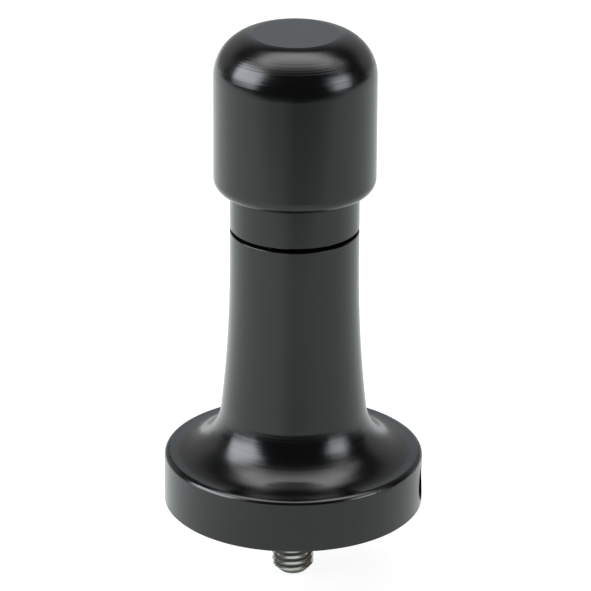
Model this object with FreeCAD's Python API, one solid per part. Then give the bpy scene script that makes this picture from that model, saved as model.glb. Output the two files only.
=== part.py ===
"""Handle of a dynamometric espresso tamper: it gives way with a click at a set pressing force.

The frame: millimetres, +Z up along the handle's axis, origin at the centre of the flange's underside,
where the base that presses the coffee screws on. +X points along the threaded side hole of the lock screw.
One STEP file is written to parts/ for each separate piece.
"""
import FreeCAD, Part
import math
import os
from FreeCAD import Vector

# --- outside shape -------------------------------------------------------------------------------
FLANGE_R = 24.5
FLANGE_TOP_Z = 10.3          # highest point of the rim, where the flare starts level
FLARE_R = 9.8                # hollow fillet between the rim and the neck
FLARE_END_DEG = 6.5          # lean of the neck where the fillet runs into the long taper
NECK_R = 12.1
NECK_STRAIGHT_Z = 48.0       # above this the neck is a plain cylinder
BODY_TOP_Z = 55.05
SEAM_GAP = 0.70              # what the handle moves down by before the sleeve lands on the body
SLEEVE_R = 12.1
KNOB_R = 15.18
KNOB_BOTTOM_Z = 63.2
KNOB_TOP_Z = 93.65
KNOB_SHOULDER_R = 8.2        # rounding of the knob's upper edge
KNOB_FACE_R = 8.05           # the flat that is faced off the rounded top
KNOB_EDGE_R = 2.5            # rounding of the knob's lower edge
KNOB_RECESS_R = 12.25        # the sleeve's upper end sits in this recess
KNOB_RECESS_DEPTH = 2.1
KNOB_RECESS_BREAK = 0.1
EDGE_BREAK = 0.2
SEAM_EDGE_R = 0.2            # rounding of the two outer edges that face each other across the seam
FLANGE_EDGE = 0.3            # chamfer around the foot of the flange

# --- M8 thread, shared by the base stud, the lock screw and their holes ---------------------------
THREAD_PITCH = 1.25
THREAD_PITCH_R = 3.594
STUD_CREST_R = 3.95
STUD_ROOT_R = 3.20
HOLE_CREST_R = 3.35          # what is left of the hole's wall between its grooves
HOLE_GROOVE_R = 4.10
FLANK_CLEARANCE = 0.05
PLAIN_BORE_R = 4.05          # where a thread is out of sight its hole is drawn plain, clear of the crests
KEY_FLAT = 4.0               # across the flats of the hex key for M8 set screws

# --- base stud and what it bears on --------------------------------------------------------------
STUD_OUT = 15.0              # how far the stud stands out of the flange
STUD_LENGTH = 35.0
KEY_DEPTH = 5.0
STUD_CHAMFER = 1.5
STUD_TURN_DEG = 236.0        # how far the stud is turned from the common thread start
STUD_HOLE_CHAMFER_R = 4.3
FLOOR_Z = 13.0               # top of the body's solid floor
CHAMBER_R = 9.6              # room for the main spring
THRUST_BALL_R = 2.0
THRUST_CONE_R = 2.2          # mouth of the 90 degree centres that hold the thrust ball
SEAT_R = 9.5
SEAT_THICKNESS = 3.0
SEAT_GAP = 1.4               # between the stud's tip and the seat
BOSS_R = 4.6
BOSS_HEIGHT = 2.6

# --- main spring ---------------------------------------------------------------------------------
SPRING_MEAN_R = 7.2
SPRING_WIRE_R = 1.1
SPRING_ACTIVE_TURNS = 3.0

# --- guide bush, detent and plunger --------------------------------------------------------------
BUSH_BOTTOM_Z = 43.0
BUSH_TOP_Z = 53.0
BUSH_R = 10.48
BUSH_SEAT_R = 10.5
STEM_R = 6.0
STEM_CLEARANCE = 0.05
COLLAR_R = 8.6
COLLAR_THICKNESS = 2.8
WASHER_THICKNESS = 1.2
SPIGOT_R = 4.4
SPIGOT_LENGTH = 4.0
TANG_R = 5.0                 # upper, threaded end of the plunger, drawn plain at its outside radius
TANG_SHOULDER_Z = 56.6
TANG_TOP_Z = 81.0
TANG_HOLE_TOP_Z = 83.0
PLAIN_FIT = 0.02
DETENT_Z = 47.0
DETENT_DEPTH = 0.9
DETENT_FLANK_DEG = 30.0      # slope of the groove's flanks against the axis
DETENT_BALL_R = 1.5
DETENT_BALL_AT = 6.85        # radius of the balls' centres at rest
DETENT_HOLE_R = 1.55
DETENT_ANGLES = (90.0, 210.0, 330.0)
DETENT_SPRING_R = 1.05
DETENT_WIRE_R = 0.2
DETENT_SPRING_END = 10.15
SEAL_Z = 50.8
SEAL_WIRE_R = 0.62
SEAL_GROOVE_R = 7.32
SEAL_GROOVE_WIDTH = 1.4

# --- retaining ring ------------------------------------------------------------------------------
RING_THICKNESS = 1.0
RING_R = 11.05
RING_INNER_R = 9.3
RING_GROOVE_R = 11.1
RING_GAP_DEG = 34.0
RING_LUG_R = 1.55
RING_LUG_AT = 8.7
RING_EYE_R = 0.8

# --- lock screw in the flange's side -------------------------------------------------------------
LOCK_Z = 4.5
LOCK_PAD_R = 3.15
LOCK_PAD_LENGTH = 3.0
LOCK_SCREW_LENGTH = 10.0
LOCK_KEY_DEPTH = 4.0
LOCK_THREAD_START = 18.6     # the hole's thread is drawn from here out to its mouth
LOCK_CHAMFER_R = 3.8         # the thread runs out in a small chamfer

ORIGIN = Vector(0, 0, 0)
UP = Vector(0, 0, 1)


def cylinder(radius, low, high):
    return Part.makeCylinder(radius, high - low, Vector(0, 0, low), UP)


def cone(low_radius, high_radius, low, high):
    return Part.makeCone(low_radius, high_radius, high - low, Vector(0, 0, low), UP)


def at(radius, height):
    """Point of a profile that is to be turned about the axis."""
    return Vector(radius, 0, height)


def turned(edges):
    """Solid of revolution of a closed outline in the XZ plane."""
    face = Part.Face(Part.Wire(Part.__sortEdges__(edges)))
    return Part.makeSolid(face.revolve(ORIGIN, UP, 360).Shells[0])


def lines(points):
    """Straight edges from each point to the next."""
    return [Part.makeLine(a, b) for a, b in zip(points, points[1:])]


def arc(centre, radius, start_deg, end_deg):
    """Arc of a profile; angles are counted from the outward direction towards +Z."""
    angles = [math.radians(start_deg + (end_deg - start_deg) * step / 2) for step in range(3)]
    places = [centre + at(radius * math.cos(a), radius * math.sin(a)) for a in angles]
    return Part.Arc(*places).toShape()


def outward(shape):
    """Lays a piece that was drawn along +Z along the lock screw's hole."""
    shape.rotate(ORIGIN, Vector(0, 1, 0), 90)
    shape.translate(Vector(0, 0, LOCK_Z))
    return shape


def hex_socket(depth, end, direction):
    """Six-sided key socket that opens at the height end and runs towards direction."""
    corners = [Vector(KEY_FLAT / math.sqrt(3), 0, 0)]
    turn = FreeCAD.Rotation(UP, 60)
    for _ in range(5):
        corners.append(turn.multVec(corners[-1]))
    outline = Part.makePolygon(corners + corners[:1])
    socket = Part.Face(outline).extrude(Vector(0, 0, depth * direction))
    tip_height = KEY_FLAT / 2 * math.tan(math.radians(30))
    tip = Part.makeCone(KEY_FLAT / 2, 0, tip_height, Vector(0, 0, depth * direction), Vector(0, 0, direction))
    socket = socket.fuse(tip).removeSplitter()
    socket.translate(Vector(0, 0, end))
    return socket


def helical_ridge(inner_r, outer_r, flank_shift, low, high):
    """Sixty-degree ridge of the M8 thread. As drawn, every ridge crosses +X at whole pitches."""
    slope = math.tan(math.radians(30))

    def half_width(radius):
        return THREAD_PITCH / 4 - (radius - THREAD_PITCH_R) * slope + flank_shift

    first = math.floor(low / THREAD_PITCH) - 1
    turns = math.ceil(high / THREAD_PITCH) + 1 - first
    path = Part.makeHelix(THREAD_PITCH, turns * THREAD_PITCH, THREAD_PITCH_R)
    inner, outer = half_width(inner_r), half_width(outer_r)
    corners = [at(inner_r, -inner), at(outer_r, -outer), at(outer_r, outer), at(inner_r, inner)]
    outline = Part.makePolygon(corners + corners[:1])
    ridge = Part.Wire(path.Edges).makePipeShell([outline], True, True)
    ridge.translate(Vector(0, 0, first * THREAD_PITCH))
    return ridge


def threaded_rod(low, high, chamfer):
    """Rod with an M8 thread all along and a chamfer at both ends."""
    thread = helical_ridge(STUD_ROOT_R - 0.05, STUD_CREST_R, -FLANK_CLEARANCE, low, high)
    outline = [at(0, low), at(STUD_CREST_R + 0.05 - chamfer, low), at(STUD_CREST_R + 0.05, low + chamfer),
               at(STUD_CREST_R + 0.05, high - chamfer), at(STUD_CREST_R + 0.05 - chamfer, high), at(0, high)]
    blank = turned(lines(outline + outline[:1]))
    core = cylinder(STUD_ROOT_R, low, high).common(blank)
    return core.fuse(thread.common(blank))


def threaded_hole(low, high):
    """What a tap takes out of the metal for an M8 thread."""
    drill = cylinder(HOLE_CREST_R, low, high)
    thread = helical_ridge(HOLE_CREST_R - 0.05, HOLE_GROOVE_R, FLANK_CLEARANCE, low, high)
    return drill.fuse(thread.common(cylinder(HOLE_GROOVE_R + 1, low, high)))


def body_outside():
    """Edges of the flared body's outside, from the foot of the flange to the top of the neck."""
    lean = math.radians(FLARE_END_DEG)
    flare_z = FLANGE_TOP_Z + FLARE_R
    join_z = flare_z - FLARE_R * math.sin(lean)
    taper_r = (NECK_STRAIGHT_Z - join_z) / math.sin(lean)
    join_r = NECK_R + taper_r * (1 - math.cos(lean))
    flare_at = join_r + FLARE_R * math.cos(lean)
    rim_r = FLANGE_R - flare_at
    rim_z = FLANGE_TOP_Z - rim_r
    side = lines([at(FLANGE_R - FLANGE_EDGE, 0), at(FLANGE_R, FLANGE_EDGE), at(FLANGE_R, rim_z)])
    rim = arc(at(flare_at, rim_z), rim_r, 0, 90)
    flare = arc(at(flare_at, flare_z), FLARE_R, 270, 180 + FLARE_END_DEG)
    taper = arc(at(NECK_R + taper_r, NECK_STRAIGHT_Z), taper_r, 180 + FLARE_END_DEG, 180)
    neck = lines([at(NECK_R, NECK_STRAIGHT_Z), at(NECK_R, BODY_TOP_Z - SEAM_EDGE_R)])
    edge = arc(at(NECK_R - SEAM_EDGE_R, BODY_TOP_Z - SEAM_EDGE_R), SEAM_EDGE_R, 0, 90)
    return side + [rim, flare, taper] + neck + [edge]


def flared_body():
    closing = lines([at(NECK_R - SEAM_EDGE_R, BODY_TOP_Z), at(0, BODY_TOP_Z), ORIGIN,
                     at(FLANGE_R - FLANGE_EDGE, 0)])
    body = turned(body_outside() + closing)
    groove_low = BUSH_TOP_Z - 0.02
    groove_high = groove_low + RING_THICKNESS + 0.1
    bore = [at(0, FLOOR_Z), at(CHAMBER_R, FLOOR_Z), at(CHAMBER_R, BUSH_BOTTOM_Z),
            at(BUSH_SEAT_R, BUSH_BOTTOM_Z), at(BUSH_SEAT_R, groove_low), at(RING_GROOVE_R, groove_low),
            at(RING_GROOVE_R, groove_high), at(BUSH_SEAT_R, groove_high),
            at(BUSH_SEAT_R, BODY_TOP_Z - EDGE_BREAK), at(BUSH_SEAT_R + EDGE_BREAK, BODY_TOP_Z),
            at(0, BODY_TOP_Z)]
    body = body.cut(turned(lines(bore + bore[:1])))
    body = body.cut(cylinder(PLAIN_BORE_R, -1, FLOOR_Z + 1))
    cone_tip_r = PLAIN_BORE_R - 0.1
    body = body.cut(cone(STUD_HOLE_CHAMFER_R, cone_tip_r, 0, STUD_HOLE_CHAMFER_R - cone_tip_r))
    body = body.cut(outward(cylinder(HOLE_CREST_R, 0, lock_screw_x())))
    body = body.cut(outward(cylinder(PLAIN_BORE_R, lock_screw_x() - PLAIN_FIT, LOCK_THREAD_START)))
    body = body.cut(outward(threaded_hole(LOCK_THREAD_START - PLAIN_FIT, FLANGE_R + 1)))
    chamfer = LOCK_CHAMFER_R - HOLE_CREST_R + 0.1
    mouth = cone(HOLE_CREST_R - 0.1, LOCK_CHAMFER_R + 0.5, FLANGE_R - chamfer, FLANGE_R + 0.5)
    return body.cut(outward(mouth))


def base_stud():
    low, high = -STUD_OUT, STUD_LENGTH - STUD_OUT
    stud = threaded_rod(low, high, STUD_CHAMFER)
    stud.rotate(ORIGIN, UP, STUD_TURN_DEG)
    stud = stud.cut(hex_socket(KEY_DEPTH, low, 1))
    return stud.cut(cone(0, THRUST_CONE_R, high - THRUST_CONE_R, high))


def thrust_ball_z():
    """Height of the ball that lies in the stud's 90 degree centre, a hair clear of it."""
    return STUD_LENGTH - STUD_OUT - THRUST_CONE_R + THRUST_BALL_R * math.sqrt(2) + 0.01


def thrust_ball():
    return Part.makeSphere(THRUST_BALL_R, Vector(0, 0, thrust_ball_z()), UP)


def seat_z():
    return STUD_LENGTH - STUD_OUT + SEAT_GAP


def spring_seat():
    low = seat_z()
    top = low + SEAT_THICKNESS
    boss_top = top + BOSS_HEIGHT
    outline = [at(0, low), at(SEAT_R - 0.5, low), at(SEAT_R, low + 0.5), at(SEAT_R, top), at(BOSS_R, top),
               at(BOSS_R, boss_top - 0.5), at(BOSS_R - 0.5, boss_top), at(0, boss_top)]
    seat = turned(lines(outline + outline[:1]))
    tip = thrust_ball_z() + THRUST_BALL_R * math.sqrt(2) + 0.01
    return seat.cut(cone(tip - low, 0, low, tip))


def spring_wire(mean_r, wire_r, pitches):
    """Coil along +Z from stretches of (turns, pitch), its wire's first centre at height 0."""
    edges = []
    height = 0
    angle = 0
    for turns, pitch in pitches:
        stretch = Part.makeHelix(pitch, turns * pitch, mean_r)
        stretch.rotate(ORIGIN, UP, angle)
        stretch.translate(Vector(0, 0, height))
        edges += stretch.Edges
        height += turns * pitch
        angle += turns * 360
    path = Part.Wire(edges)
    section = Part.Wire(Part.makeCircle(wire_r, Vector(mean_r, 0, 0), path.Edges[0].tangentAt(
        path.Edges[0].FirstParameter)))
    return path.makePipeShell([section], True, True)


def main_spring():
    """Closed end turns, ground flat to half the wire, between the spring seat and the thrust washer."""
    low = seat_z() + SEAT_THICKNESS
    high = BUSH_BOTTOM_Z - COLLAR_THICKNESS - WASHER_THICKNESS
    closed_pitch = 2 * SPRING_WIRE_R + 0.05
    closed_turns = 0.75
    active = (high - low - 2 * closed_turns * closed_pitch) / SPRING_ACTIVE_TURNS
    closed = (closed_turns, closed_pitch)
    coil = spring_wire(SPRING_MEAN_R, SPRING_WIRE_R, [closed, (SPRING_ACTIVE_TURNS, active), closed])
    coil.translate(Vector(0, 0, low))
    return coil.common(cylinder(SPRING_MEAN_R + 2 * SPRING_WIRE_R, low, high))


def thrust_washer():
    high = BUSH_BOTTOM_Z - COLLAR_THICKNESS
    low = high - WASHER_THICKNESS
    return cylinder(COLLAR_R, low, high).cut(cylinder(SPIGOT_R + 0.1, low, high))


def plunger():
    """Spigot, collar, grooved stem and the tang that the sleeve and the knob sit on."""
    collar_low = BUSH_BOTTOM_Z - COLLAR_THICKNESS
    spigot_low = collar_low - SPIGOT_LENGTH
    half_groove = DETENT_DEPTH / math.tan(math.radians(DETENT_FLANK_DEG))
    outline = [at(0, spigot_low), at(SPIGOT_R - 0.6, spigot_low), at(SPIGOT_R, spigot_low + 0.6),
               at(SPIGOT_R, collar_low), at(COLLAR_R, collar_low), at(COLLAR_R, BUSH_BOTTOM_Z),
               at(STEM_R, BUSH_BOTTOM_Z), at(STEM_R, DETENT_Z - half_groove),
               at(STEM_R - DETENT_DEPTH, DETENT_Z), at(STEM_R, DETENT_Z + half_groove),
               at(STEM_R, TANG_SHOULDER_Z), at(TANG_R, TANG_SHOULDER_Z),
               at(TANG_R, TANG_TOP_Z - 0.8), at(TANG_R - 0.8, TANG_TOP_Z), at(0, TANG_TOP_Z)]
    return turned(lines(outline + outline[:1]))


def radial(shape, angle):
    """Lays a piece that was drawn along +Z along a radius through the click balls."""
    shape.rotate(ORIGIN, Vector(0, 1, 0), 90)
    shape.translate(Vector(0, 0, DETENT_Z))
    shape.rotate(ORIGIN, UP, angle)
    return shape


def guide_bush():
    bore_r = STEM_R + STEM_CLEARANCE
    low = SEAL_Z - SEAL_GROOVE_WIDTH / 2
    high = SEAL_Z + SEAL_GROOVE_WIDTH / 2
    outline = [at(bore_r, BUSH_BOTTOM_Z), at(BUSH_R - 0.3, BUSH_BOTTOM_Z), at(BUSH_R, BUSH_BOTTOM_Z + 0.3),
               at(BUSH_R, BUSH_TOP_Z - 0.3), at(BUSH_R - 0.3, BUSH_TOP_Z), at(bore_r + 0.3, BUSH_TOP_Z),
               at(bore_r, BUSH_TOP_Z - 0.3), at(bore_r, high), at(SEAL_GROOVE_R, high),
               at(SEAL_GROOVE_R, low), at(bore_r, low)]
    bush = turned(lines(outline + outline[:1]))
    for angle in DETENT_ANGLES:
        bush = bush.cut(radial(cylinder(DETENT_HOLE_R, STEM_R - 1, BUSH_R + 1), angle))
    return bush


def stem_seal():
    return Part.makeTorus(STEM_R + PLAIN_FIT + SEAL_WIRE_R, SEAL_WIRE_R, Vector(0, 0, SEAL_Z), UP)


def click_ball(angle):
    return radial(Part.makeSphere(DETENT_BALL_R, Vector(0, 0, DETENT_BALL_AT), UP), angle)


def detent_spring(angle):
    """Small coil between a click ball and the body's wall."""
    reach = DETENT_BALL_R + DETENT_WIRE_R + PLAIN_FIT
    start = DETENT_BALL_AT + math.sqrt(reach ** 2 - DETENT_SPRING_R ** 2)
    turns = 3.0
    coil = spring_wire(DETENT_SPRING_R, DETENT_WIRE_R, [(turns, (DETENT_SPRING_END - start) / turns)])
    coil.translate(Vector(0, 0, start))
    return radial(coil, angle)


def retaining_ring():
    """Internal circlip with two eyed lugs, sprung into the body's groove above the bush."""
    low = BUSH_TOP_Z
    high = low + RING_THICKNESS
    ring = cylinder(RING_R, low, high).cut(cylinder(RING_INNER_R, low, high))
    half_gap = math.radians(RING_GAP_DEG / 2)
    reach = 2 * RING_R
    corners = [Vector(0, 0, low), Vector(reach * math.cos(half_gap), -reach * math.sin(half_gap), low),
               Vector(reach * math.cos(half_gap), reach * math.sin(half_gap), low)]
    gap = Part.Face(Part.makePolygon(corners + corners[:1])).extrude(Vector(0, 0, RING_THICKNESS))
    ring = ring.cut(gap)
    for side in (-1, 1):
        lug_angle = side * (half_gap + math.asin(RING_LUG_R / RING_LUG_AT))
        place = Vector(RING_LUG_AT * math.cos(lug_angle), RING_LUG_AT * math.sin(lug_angle), low)
        ring = ring.fuse(Part.makeCylinder(RING_LUG_R, RING_THICKNESS, place, UP))
        ring = ring.cut(Part.makeCylinder(RING_EYE_R, RING_THICKNESS, place, UP))
    return ring.removeSplitter()


def neck_sleeve():
    low = BODY_TOP_Z + SEAM_GAP
    high = KNOB_BOTTOM_Z + KNOB_RECESS_DEPTH
    outline = [at(SLEEVE_R, low + SEAM_EDGE_R), at(SLEEVE_R, high - EDGE_BREAK),
               at(SLEEVE_R - EDGE_BREAK, high), at(TANG_R + PLAIN_FIT, high),
               at(TANG_R + PLAIN_FIT, TANG_SHOULDER_Z), at(STEM_R + PLAIN_FIT, TANG_SHOULDER_Z),
               at(STEM_R + PLAIN_FIT, low), at(SLEEVE_R - SEAM_EDGE_R, low)]
    edge = arc(at(SLEEVE_R - SEAM_EDGE_R, low + SEAM_EDGE_R), SEAM_EDGE_R, 270, 360)
    return turned(lines(outline) + [edge])


def palm_knob():
    edge_z = KNOB_BOTTOM_Z + KNOB_EDGE_R
    edge_at = KNOB_R - KNOB_EDGE_R
    recess_top = KNOB_BOTTOM_Z + KNOB_RECESS_DEPTH
    hole_r = TANG_R + PLAIN_FIT
    underside = lines([at(0, TANG_HOLE_TOP_Z + 1.5), at(hole_r, TANG_HOLE_TOP_Z), at(hole_r, recess_top),
                       at(KNOB_RECESS_R, recess_top), at(KNOB_RECESS_R, KNOB_BOTTOM_Z + KNOB_RECESS_BREAK),
                       at(KNOB_RECESS_R + KNOB_RECESS_BREAK, KNOB_BOTTOM_Z), at(edge_at, KNOB_BOTTOM_Z)])
    edge = arc(at(edge_at, edge_z), KNOB_EDGE_R, 270, 360)
    shoulder_at = KNOB_R - KNOB_SHOULDER_R
    shoulder_end = math.acos((KNOB_FACE_R - shoulder_at) / KNOB_SHOULDER_R)
    shoulder_z = KNOB_TOP_Z - KNOB_SHOULDER_R * math.sin(shoulder_end)
    side = lines([at(KNOB_R, edge_z), at(KNOB_R, shoulder_z)])
    shoulder = arc(at(shoulder_at, shoulder_z), KNOB_SHOULDER_R, 0, math.degrees(shoulder_end))
    top = lines([at(KNOB_FACE_R, KNOB_TOP_Z), at(0, KNOB_TOP_Z), at(0, TANG_HOLE_TOP_Z + 1.5)])
    return turned(underside + [edge] + side + [shoulder] + top)


def lock_pad():
    """Swivelling brass pad that presses on the stud's thread without marking it."""
    low = STUD_CREST_R + PLAIN_FIT
    pad = cylinder(LOCK_PAD_R, 0, low + LOCK_PAD_LENGTH)
    across = Part.makeCylinder(low, 4 * LOCK_PAD_R, Vector(2 * LOCK_PAD_R, 0, 0), Vector(-1, 0, 0))
    return outward(pad.cut(across).Solids[0])


def lock_screw_x():
    """Where the lock screw's inner end rests on the pad."""
    return STUD_CREST_R + PLAIN_FIT + LOCK_PAD_LENGTH


def lock_screw():
    low = lock_screw_x()
    high = low + LOCK_SCREW_LENGTH
    screw = threaded_rod(low, high, 0.6)
    return outward(screw.cut(hex_socket(LOCK_KEY_DEPTH, high, -1)))


def pieces():
    made = {
        "flared_body": flared_body(),
        "base_stud": base_stud(),
        "thrust_ball": thrust_ball(),
        "spring_seat": spring_seat(),
        "main_spring": main_spring(),
        "thrust_washer": thrust_washer(),
        "plunger": plunger(),
        "guide_bush": guide_bush(),
        "stem_seal": stem_seal(),
        "retaining_ring": retaining_ring(),
        "neck_sleeve": neck_sleeve(),
        "palm_knob": palm_knob(),
        "lock_pad": lock_pad(),
        "lock_screw": lock_screw(),
    }
    for number, angle in enumerate(DETENT_ANGLES, 1):
        made[f"click_ball_{number}"] = click_ball(angle)
        made[f"detent_spring_{number}"] = detent_spring(angle)
    return made


def main():
    os.makedirs("parts", exist_ok=True)
    for name, shape in pieces().items():
        solid = shape.Solids[0]
        assert len(shape.Solids) == 1 and solid.isValid() and solid.Volume > 0, name
        solid.exportStep(f"parts/{name}.step")
        print(f"{name}: {solid.Volume:.1f} mm3")


main()
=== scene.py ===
import math
import bpy
from mathutils import Matrix, Vector


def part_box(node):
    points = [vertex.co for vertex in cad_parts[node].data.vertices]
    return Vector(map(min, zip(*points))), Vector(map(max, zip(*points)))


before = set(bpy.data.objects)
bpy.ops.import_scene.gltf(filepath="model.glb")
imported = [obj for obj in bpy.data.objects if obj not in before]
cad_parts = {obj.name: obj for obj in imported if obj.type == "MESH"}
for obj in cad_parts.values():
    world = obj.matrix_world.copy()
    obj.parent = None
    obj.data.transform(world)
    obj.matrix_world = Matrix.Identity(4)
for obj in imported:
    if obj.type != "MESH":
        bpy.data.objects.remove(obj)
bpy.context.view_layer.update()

MM = 0.001
STUD_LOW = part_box("base_stud")[0]

# --- camera, in metres in the studio's turn: X to its right, Y away from it, Z up -----------------
STUDIO_TURN_DEG = 5.5                    # how far the camera stands round from the -Y side
STUDIO = Matrix.Rotation(math.radians(STUDIO_TURN_DEG), 4, "Z")
CAMERA_DISTANCE = 0.8078
CAMERA_HEIGHT = 0.37675
CAMERA_SIDE = 0.00023
CAMERA_DOWN_DEG = 22.531
CAMERA_ROLL_DEG = 0.314
CAMERA_LENS_MM = 283.99
CAMERA_SENSOR_MM = 36.0
CAMERA_SEES_FROM = 0.05
CAMERA_SEES_TO = 20.0

# --- studio, in metres ----------------------------------------------------------------------------
FLOOR_CLEARANCE = 0.3 * MM
FLOOR_Z = STUD_LOW.z - FLOOR_CLEARANCE
FLOOR_HALF = 0.8
FLOOR_LIGHT = 0.90
FLOOR_GREY = 0.18
DOME_RADIUS = 3.0
WORLD_LIGHT = 0.045
WHITE = (1, 1, 1)
COOL = (0.94, 1.0, 1.06)
NEUTRAL = (0.99, 1.0, 0.985)
TEAL = (0.95, 1.0, 1.0)
BLUE = (0.76, 1.0, 1.22)
RAY_KINDS = ("camera", "diffuse", "glossy", "transmission", "shadow")

# --- colours of the object ------------------------------------------------------------------------
FILM_DARK = (0.0010, 0.0011, 0.0012)
FILM_LIGHT = (0.0019, 0.0021, 0.0022)
# painted shade: the groove colour below is darkened for the shade in the thread's grooves
GROOVE_SHADE_STEEL = (0.17, 0.165, 0.15)
CREST_STEEL = (0.86, 0.89, 0.84)
STAIN_BROWN = (0.30, 0.20, 0.13)
RUBBER_DARK = (0.012, 0.012, 0.013)
RUBBER_LIGHT = (0.022, 0.022, 0.022)


# --- node helpers ---------------------------------------------------------------------------------
class Nodes:
    """Builds one material's node tree with short calls."""

    def __init__(self, name):
        self.material = bpy.data.materials.new(name)
        self.material.use_nodes = True
        self.tree = self.material.node_tree
        self.tree.nodes.clear()
        self.out = self.tree.nodes.new("ShaderNodeOutputMaterial")

    def add(self, kind, settings=None, **inputs):
        """New node; an underscore in an input's keyword stands for a space."""
        node = self.tree.nodes.new(kind)
        for key, value in (settings or {}).items():
            setattr(node, key, value)
        for key, value in inputs.items():
            self.feed(node, key.replace("_", " "), value)
        return node

    def feed(self, node, key, value):
        """Links or sets an input, which is given by its name or, as digits, by its place."""
        socket = node.inputs[int(key)] if key.isdigit() else node.inputs[key]
        if isinstance(value, bpy.types.NodeSocket):
            self.tree.links.new(value, socket)
        else:
            socket.default_value = value

    def math(self, operation, first, second=0.0):
        node = self.add("ShaderNodeMath", {"operation": operation})
        self.feed(node, "0", first)
        self.feed(node, "1", second)
        return node.outputs[0]

    def ramp(self, value, low, high, to_low=0.0, to_high=1.0, kind="SMOOTHSTEP"):
        """Goes from to_low to to_high while value goes from low to high, and is level outside them.
        It bends softly into the level parts, unless kind is LINEAR."""
        node = self.add("ShaderNodeMapRange", {"interpolation_type": kind})
        for key, number in zip("01234", (value, low, high, to_low, to_high)):
            self.feed(node, key, number)
        return node.outputs[0]

    def colour(self, factor, first, second):
        """Mix of two colours, the first of which may come from another node."""
        node = self.add("ShaderNodeMix", {"data_type": "RGBA"})
        self.feed(node, "Factor", factor)
        self.feed(node, "6", first if isinstance(first, bpy.types.NodeSocket) else (*first, 1))
        self.feed(node, "7", (*second, 1))
        return node.outputs[2]

    def place(self):
        """Point in the piece's own coordinates, which for the CAD nodes are metres in the row frame."""
        return self.add("ShaderNodeTexCoord").outputs["Object"]

    def part(self, vector, axis):
        """X, Y or Z part of a vector."""
        return self.add("ShaderNodeSeparateXYZ", Vector=vector).outputs[axis]

    def slope(self):
        """Height part of the surface's own direction: 0 on upright walls, 1 on level faces."""
        return self.part(self.add("ShaderNodeTexCoord").outputs["Normal"], "Z")

    def length(self, vector):
        node = self.add("ShaderNodeVectorMath", {"operation": "LENGTH"})
        self.feed(node, "0", vector)
        return node.outputs["Value"]

    def radius(self, vector):
        """Distance from the Z axis."""
        flat = self.add("ShaderNodeVectorMath", {"operation": "MULTIPLY"})
        self.feed(flat, "0", vector)
        self.feed(flat, "1", (1, 1, 0))
        return self.length(flat.outputs[0])

    def noise(self, scale, detail, roughness=0.5):
        """Uneven value from 0 to 1; scale is in cells per metre."""
        texture = self.add("ShaderNodeTexNoise", Vector=self.place(), Scale=scale, Detail=detail,
                           Roughness=roughness)
        return texture.outputs["Fac"]

    def relief(self, height, depth_mm):
        """The surface's direction as small bumps of the given depth turn it."""
        return self.add("ShaderNodeBump", Strength=1.0, Distance=depth_mm * MM, Height=height).outputs[0]

    def emission(self, colour, strength):
        return self.add("ShaderNodeEmission", Color=(*colour, 1), Strength=strength).outputs[0]

    def both(self, first, second):
        """Sum of two shaders."""
        node = self.add("ShaderNodeAddShader")
        self.feed(node, "0", first)
        self.feed(node, "1", second)
        return node.outputs[0]

    def surface(self, socket):
        """Ends the tree with a shader's output and returns the material."""
        self.tree.links.new(socket, self.out.inputs["Surface"])
        return self.material

    def principled(self, **inputs):
        """Ends the tree with one Principled shader and returns the material."""
        return self.surface(self.add("ShaderNodeBsdfPrincipled", **inputs).outputs[0])


# --- materials ------------------------------------------------------------------------------------
def turning_marks(nodes, along_mm):
    """Height of fine tool marks: a value that changes only along the turned outline."""
    place = nodes.place()
    run = nodes.math("SUBTRACT", nodes.part(place, "Z"), nodes.radius(place))
    noise = nodes.add("ShaderNodeTexNoise", {"noise_dimensions": "1D"}, W=run, Scale=1 / (along_mm * MM),
                      Detail=3.0, Roughness=0.6)
    return noise.outputs["Fac"]


def black_anodised(name, roughness):
    """Satin black anodised aluminium as turned: near-black film, with fine marks round the axis that show
    where the surface curves."""
    nodes = Nodes(name)
    fine = turning_marks(nodes, along_mm=0.25)
    coarse = turning_marks(nodes, along_mm=0.6)
    slope = nodes.slope()
    faint_on_walls = nodes.ramp(slope, 0.08, 0.35, 0.10, 2.2)
    faint_on_level = nodes.ramp(slope, 0.60, 0.90, 1.0, 0.25)
    marks = nodes.math("ADD", fine, nodes.math("MULTIPLY", coarse, 2.0))
    marks = nodes.math("MULTIPLY", marks, nodes.math("MULTIPLY", faint_on_walls, faint_on_level))
    cloud = nodes.noise(scale=140.0, detail=4.0, roughness=0.65)
    grain = nodes.noise(scale=9000.0, detail=1.0)
    patchy = nodes.ramp(cloud, 0.3, 0.7, roughness - 0.02, roughness + 0.02)
    rough = nodes.math("ADD", patchy, nodes.math("MULTIPLY", nodes.math("SUBTRACT", fine, 0.5), 0.05))
    height = nodes.math("ADD", marks, nodes.math("MULTIPLY", grain, 0.25))
    tangent = nodes.add("ShaderNodeTangent", {"direction_type": "RADIAL", "axis": "Z"})
    return nodes.principled(Base_Color=nodes.colour(cloud, FILM_DARK, FILM_LIGHT), Roughness=rough,
                            IOR=1.5, Anisotropic=0.25, Tangent=tangent.outputs[0],
                            Normal=nodes.relief(height, depth_mm=0.008))


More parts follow.
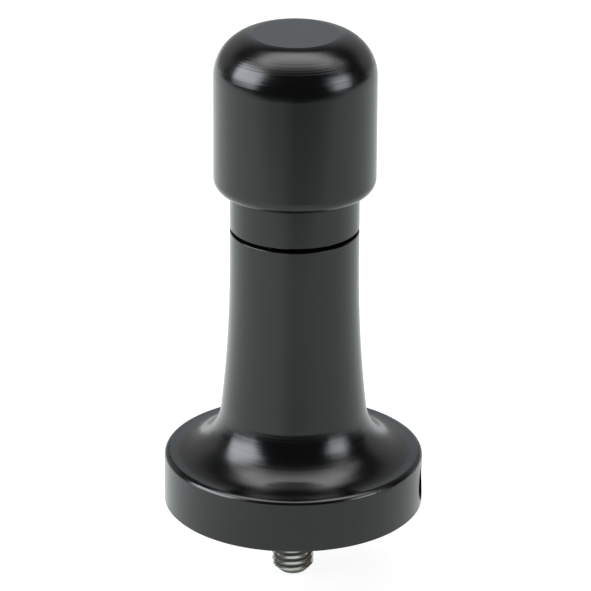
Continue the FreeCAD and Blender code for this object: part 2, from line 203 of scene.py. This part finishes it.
def metal(name, tint, roughness, stain, stain_amount, marks_mm):
    """Bare metal with tool or rolling marks and an uneven stain."""
    nodes = Nodes(name)
    marks = turning_marks(nodes, marks_mm)
    cloud = nodes.noise(scale=420.0, detail=5.0, roughness=0.7)
    spots = nodes.ramp(cloud, 0.45, 0.68, 0.0, stain_amount)
    streaky = nodes.ramp(marks, 0.2, 0.8, roughness - 0.04, roughness + 0.06)
    rough = nodes.math("ADD", nodes.math("MULTIPLY", spots, 0.25), streaky)
    height = nodes.math("ADD", marks, nodes.math("MULTIPLY", cloud, 0.8))
    return nodes.principled(Base_Color=nodes.colour(spots, tint, stain), Metallic=1.0, Roughness=rough,
                            Normal=nodes.relief(height, depth_mm=0.004))


def threaded_steel(name, crest_mm, root_mm):
    """Bare steel thread: crests bright from wear, grooves darkened with painted shade, and brown stains
    in patches, most of them on the +X side."""
    nodes = Nodes(name)
    place = nodes.place()
    # Painted shade: the colour darkens from the crests down into the grooves; the bright crests are wear.
    toward_crest = nodes.ramp(nodes.radius(place), root_mm * MM, crest_mm * MM)
    cloud = nodes.noise(scale=520.0, detail=4.0, roughness=0.7)
    uneven = nodes.math("MULTIPLY", nodes.math("SUBTRACT", cloud, 0.5), 0.9)
    crest_wear_and_groove_shade = nodes.ramp(nodes.math("ADD", toward_crest, uneven), 0.0, 0.75)
    patches = nodes.ramp(nodes.noise(scale=260.0, detail=2.0), 0.46, 0.60, 0.0, 0.8)
    one_side = nodes.ramp(nodes.part(place, "X"), -1.0 * MM, 3.0 * MM, 0.25, 1.0)
    brown = nodes.math("MULTIPLY", patches, one_side)
    colour = nodes.colour(brown, nodes.colour(crest_wear_and_groove_shade, GROOVE_SHADE_STEEL, CREST_STEEL), STAIN_BROWN)
    polish = nodes.ramp(crest_wear_and_groove_shade, 0.0, 1.0, 0.45, 0.13)
    rough = nodes.math("ADD", polish, nodes.math("MULTIPLY", brown, 0.12))
    return nodes.principled(Base_Color=colour, Metallic=1.0, Roughness=rough,
                            Normal=nodes.relief(cloud, depth_mm=0.012))


def rubber(name):
    """Dull black rubber."""
    nodes = Nodes(name)
    grain = nodes.noise(scale=2500.0, detail=3.0)
    return nodes.principled(Base_Color=nodes.colour(grain, RUBBER_DARK, RUBBER_LIGHT), Roughness=0.55,
                            Normal=nodes.relief(grain, depth_mm=0.010))


def finish_nodes():
    """Gives every CAD node its material."""
    finishes = {
        "flared_body": black_anodised("black_body", roughness=0.17),
        "palm_knob": black_anodised("black_knob", roughness=0.18),
        "neck_sleeve": black_anodised("black_sleeve", roughness=0.17),
        "base_stud": threaded_steel("stud_steel", crest_mm=3.85, root_mm=3.35),
        "lock_screw": metal("screw_steel", tint=(0.10, 0.10, 0.10), roughness=0.32,
                            stain=(0.05, 0.045, 0.04), stain_amount=0.7, marks_mm=0.3),
        "lock_pad": metal("pad_brass", tint=(0.75, 0.56, 0.25), roughness=0.28,
                          stain=(0.35, 0.22, 0.10), stain_amount=0.6, marks_mm=0.3),
        "guide_bush": metal("bush_bronze", tint=(0.45, 0.30, 0.16), roughness=0.50,
                            stain=(0.09, 0.06, 0.04), stain_amount=1.0, marks_mm=0.3),
        "stem_seal": rubber("seal_rubber"),
    }
    ground = metal("ground_steel", tint=(0.60, 0.60, 0.60), roughness=0.18,
                   stain=(0.40, 0.38, 0.35), stain_amount=0.3, marks_mm=0.2)
    polished = metal("ball_steel", tint=(0.75, 0.75, 0.76), roughness=0.07,
                     stain=(0.60, 0.60, 0.60), stain_amount=0.2, marks_mm=0.5)
    wire = metal("spring_steel", tint=(0.36, 0.36, 0.37), roughness=0.30,
                 stain=(0.20, 0.19, 0.18), stain_amount=0.5, marks_mm=0.4)
    finishes["thrust_ball"] = polished
    for node in ("plunger", "thrust_washer", "spring_seat"):
        finishes[node] = ground
    for node in ("main_spring", "retaining_ring"):
        finishes[node] = wire
    for number in (1, 2, 3):
        finishes[f"click_ball_{number}"] = polished
        finishes[f"detent_spring_{number}"] = wire
    for node, material in finishes.items():
        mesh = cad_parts[node].data
        mesh.materials.clear()
        mesh.materials.append(material)


# --- flat pieces of the studio --------------------------------------------------------------------
def show_only_to(piece, seen_by):
    """Lets only the listed kinds of ray meet the piece."""
    for kind in RAY_KINDS:
        setattr(piece, f"visible_{kind}", kind in seen_by)


def add_square(name, half, material, place, seen_by):
    """Flat square, put at its place in the studio's turn. half is half its side."""
    corners = [(x * half, y * half, 0) for x, y in ((-1, -1), (1, -1), (1, 1), (-1, 1))]
    mesh = bpy.data.meshes.new(name)
    mesh.from_pydata(corners, [], [(0, 1, 2, 3)])
    mesh.materials.append(material)
    card = bpy.data.objects.new(name, mesh)
    card.matrix_world = STUDIO @ place
    bpy.context.scene.collection.objects.link(card)
    show_only_to(card, seen_by)


def add_gauze(name, nodes, light, colour, middle, half_wide, half_high):
    """Rectangle that gives off the light that the nodes work out, and lets through what is behind it."""
    clear = nodes.add("ShaderNodeBsdfTransparent").outputs[0]
    material = nodes.surface(nodes.both(nodes.emission(colour, light), clear))
    facing = half_wide.cross(half_high).normalized()
    place = Matrix((half_wide, half_high, facing)).transposed().to_4x4()
    place.translation = middle
    add_square(name, 1.0, material, place, ("diffuse", "glossy"))


def panel(name, middle, half_wide, half_high, colour, strength, fades):
    """Gauze that fades towards its edges. fades gives the share of its half size that the light takes to
    come up from its left, right, low and high edge, seen from behind it towards the object."""
    nodes = Nodes(name)
    place = nodes.place()
    light = strength
    for axis, low, high in (("X", *fades[:2]), ("Y", *fades[2:])):
        along = nodes.part(place, axis)
        light = nodes.math("MULTIPLY", nodes.ramp(along, -1.0, low - 1.0), light)
        light = nodes.math("MULTIPLY", nodes.ramp(along, 1.0, 1.0 - high), light)
    add_gauze(name, nodes, light, colour, middle, half_wide, half_high)


def direction(azimuth, elevation):
    """Unit vector in the studio's turn; azimuth 0 is towards the camera and 90 to its right."""
    turn = math.radians(azimuth)
    climb = math.radians(elevation)
    return Vector((math.sin(turn) * math.cos(climb), -math.cos(turn) * math.cos(climb), math.sin(climb)))


def softbox(name, azimuth, elevation, wide_deg, high_deg, distance, colour, strength, fades):
    """Panel that faces the object. Its place and size are angles as the object sees them."""
    middle = direction(azimuth, elevation) * distance
    across = direction(azimuth + 90, 0)
    rise = middle.normalized().cross(across)
    half_wide = across * distance * math.tan(math.radians(wide_deg / 2))
    half_high = rise * distance * math.tan(math.radians(high_deg / 2))
    panel(name, middle, half_wide, half_high, colour, strength, fades)


def overhead(name, height, left, right, near, far, colour, strength, fades):
    """Level panel above the object; its edges are given in parts of its height."""
    middle = Vector(((left + right) / 2, (near + far) / 2, 1)) * height
    half_wide = Vector(((right - left) / 2, 0, 0)) * height
    half_deep = Vector((0, (far - near) / 2, 0)) * height
    panel(name, middle, half_wide, half_deep, colour, strength, fades)


def round_scrim(name, height, radius, colour, strength):
    """Level round gauze above the object, dark at the camera's side and brightest behind the middle.
    The radius is given in parts of the height."""
    nodes = Nodes(name)
    place = nodes.place()
    own_height = 1 / radius              # the height, in the gauze's own coordinates
    sideways = nodes.math("ABSOLUTE", nodes.part(place, "X"))
    depth = nodes.part(place, "Y")
    rear = nodes.ramp(depth, -0.5 * own_height, 0.15 * own_height, 0.0, strength, kind="LINEAR")
    edge = nodes.ramp(nodes.length(place), 0.46, 0.96, 1.0, 0.0)
    sides = nodes.ramp(sideways, 0.15 * own_height, 0.6 * own_height, 1.0, 0.75)
    light = nodes.math("MULTIPLY", nodes.math("MULTIPLY", rear, edge), sides)
    middle = Vector((0, 0, height))
    half_wide = Vector((height * radius, 0, 0))
    half_deep = Vector((0, height * radius, 0))
    add_gauze(name, nodes, light, colour, middle, half_wide, half_deep)


def floor_material():
    """Pale floor with a faint soft shadow; seen from below it is clear."""
    nodes = Nodes("floor")
    matt = nodes.add("ShaderNodeBsdfDiffuse", Color=(FLOOR_GREY, FLOOR_GREY, FLOOR_GREY, 1)).outputs[0]
    mix = nodes.add("ShaderNodeMixShader")
    nodes.feed(mix, "0", nodes.add("ShaderNodeNewGeometry").outputs["Backfacing"])
    nodes.feed(mix, "1", nodes.both(nodes.emission(WHITE, FLOOR_LIGHT), matt))
    nodes.feed(mix, "2", nodes.add("ShaderNodeBsdfTransparent").outputs[0])
    return nodes.surface(mix.outputs[0])


def table_glow():
    """What the object mirrors of the table: bright close by and at the left, dimmer towards the camera,
    and dark where the flange shades it beside the stud."""
    nodes = Nodes("table_glow")
    place = nodes.place()
    front = nodes.math("MULTIPLY", nodes.part(place, "Y"), -1.0)
    sideways = nodes.part(place, "X")
    reach = nodes.radius(place)

    close_by = nodes.ramp(front, 150 * MM, 235 * MM, 1.04, 0.57)
    at_left = nodes.ramp(sideways, -80 * MM, 0.0, 0.30, 0.0)
    far_off = nodes.ramp(front, 270 * MM, 400 * MM, 1.0, 0.15)
    # Painted shade: the table's glow is dimmed right under the stud.
    under_stud = nodes.ramp(reach, 8 * MM, 20 * MM, 0.6, 1.0)
    strength = nodes.math("MULTIPLY", nodes.math("ADD", close_by, at_left), far_off)
    strength = nodes.math("MULTIPLY", strength, under_stud)

    beside_stud = nodes.ramp(nodes.math("ABSOLUTE", sideways), 4 * MM, 11 * MM)
    before_or_beside = nodes.math("MAXIMUM", beside_stud, nodes.ramp(reach, 14 * MM, 18 * MM))
    under_flange = nodes.ramp(reach, 22 * MM, 28 * MM, 0.85, 0.0)
    shaded = nodes.math("MULTIPLY", before_or_beside, under_flange)
    strength = nodes.math("MULTIPLY", strength, nodes.math("SUBTRACT", 1.0, shaded))
    return nodes.surface(nodes.emission(TEAL, strength))


# --- studio and camera ----------------------------------------------------------------------------
def light_world():
    world = bpy.data.worlds.new("studio")
    world.use_nodes = True
    background = world.node_tree.nodes["Background"]
    background.inputs["Color"].default_value = (*WHITE, 1)
    background.inputs["Strength"].default_value = WORLD_LIGHT
    bpy.context.scene.world = world
    bpy.context.scene.view_settings.view_transform = "Standard"


def add_floor():
    """White floor that the camera sees, and the table as the object mirrors it, in one plane."""
    place = Matrix.Translation((0, 0, FLOOR_Z))
    add_square("floor", FLOOR_HALF, floor_material(), place, ("camera", "diffuse", "shadow"))
    add_square("table_glow", FLOOR_HALF, table_glow(), place, ("glossy",))


def add_panels():
    """Softboxes at both sides, gauze overhead and a weak light behind."""
    softbox("left_softbox", azimuth=-76, elevation=26, wide_deg=49, high_deg=54, distance=1.6,
            colour=COOL, strength=8.4, fades=(0.15, 0.50, 0.75, 0.60))
    softbox("right_softbox", azimuth=68, elevation=19, wide_deg=33, high_deg=42, distance=1.0,
            colour=COOL, strength=6.3, fades=(0.40, 0.35, 0.75, 0.75))
    round_scrim("top_scrim", height=1.4, radius=0.78, colour=NEUTRAL, strength=4.3)
    overhead("left_scrim", height=1.5, left=-1.05, right=-0.28, near=-0.40, far=0.42,
             colour=NEUTRAL, strength=2.1, fades=(0.6, 0.6, 0.5, 0.6))
    overhead("right_scrim", height=1.5, left=0.28, right=1.22, near=-0.38, far=0.45,
             colour=NEUTRAL, strength=2.0, fades=(0.6, 0.5, 0.5, 0.6))
    softbox("back_card", azimuth=180, elevation=21, wide_deg=26, high_deg=24, distance=1.2,
            colour=BLUE, strength=0.20, fades=(0.5, 0.5, 0.5, 0.3))
    softbox("back_haze", azimuth=180, elevation=19, wide_deg=132, high_deg=68, distance=1.3,
            colour=NEUTRAL, strength=0.42, fades=(0.45, 0.45, 0.35, 0.75))


def add_dome():
    """White background that only the camera sees."""
    bpy.ops.mesh.primitive_ico_sphere_add(subdivisions=4, radius=DOME_RADIUS)
    dome = bpy.context.object
    dome.name = "white_dome"
    nodes = Nodes("white_dome")
    dome.data.materials.append(nodes.surface(nodes.emission(WHITE, 1.0)))
    show_only_to(dome, ("camera",))


def add_camera():
    data = bpy.data.cameras.new("camera")
    data.lens = CAMERA_LENS_MM
    data.sensor_width = CAMERA_SENSOR_MM
    data.clip_start = CAMERA_SEES_FROM
    data.clip_end = CAMERA_SEES_TO
    camera = bpy.data.objects.new("camera", data)
    bpy.context.scene.collection.objects.link(camera)
    aim = (Matrix.Translation((CAMERA_SIDE, -CAMERA_DISTANCE, CAMERA_HEIGHT))
           @ Matrix.Rotation(math.radians(90 - CAMERA_DOWN_DEG), 4, "X")
           @ Matrix.Rotation(math.radians(CAMERA_ROLL_DEG), 4, "Z"))
    camera.matrix_world = STUDIO @ aim
    bpy.context.scene.camera = camera


finish_nodes()
light_world()
add_floor()
add_panels()
add_dome()
add_camera()
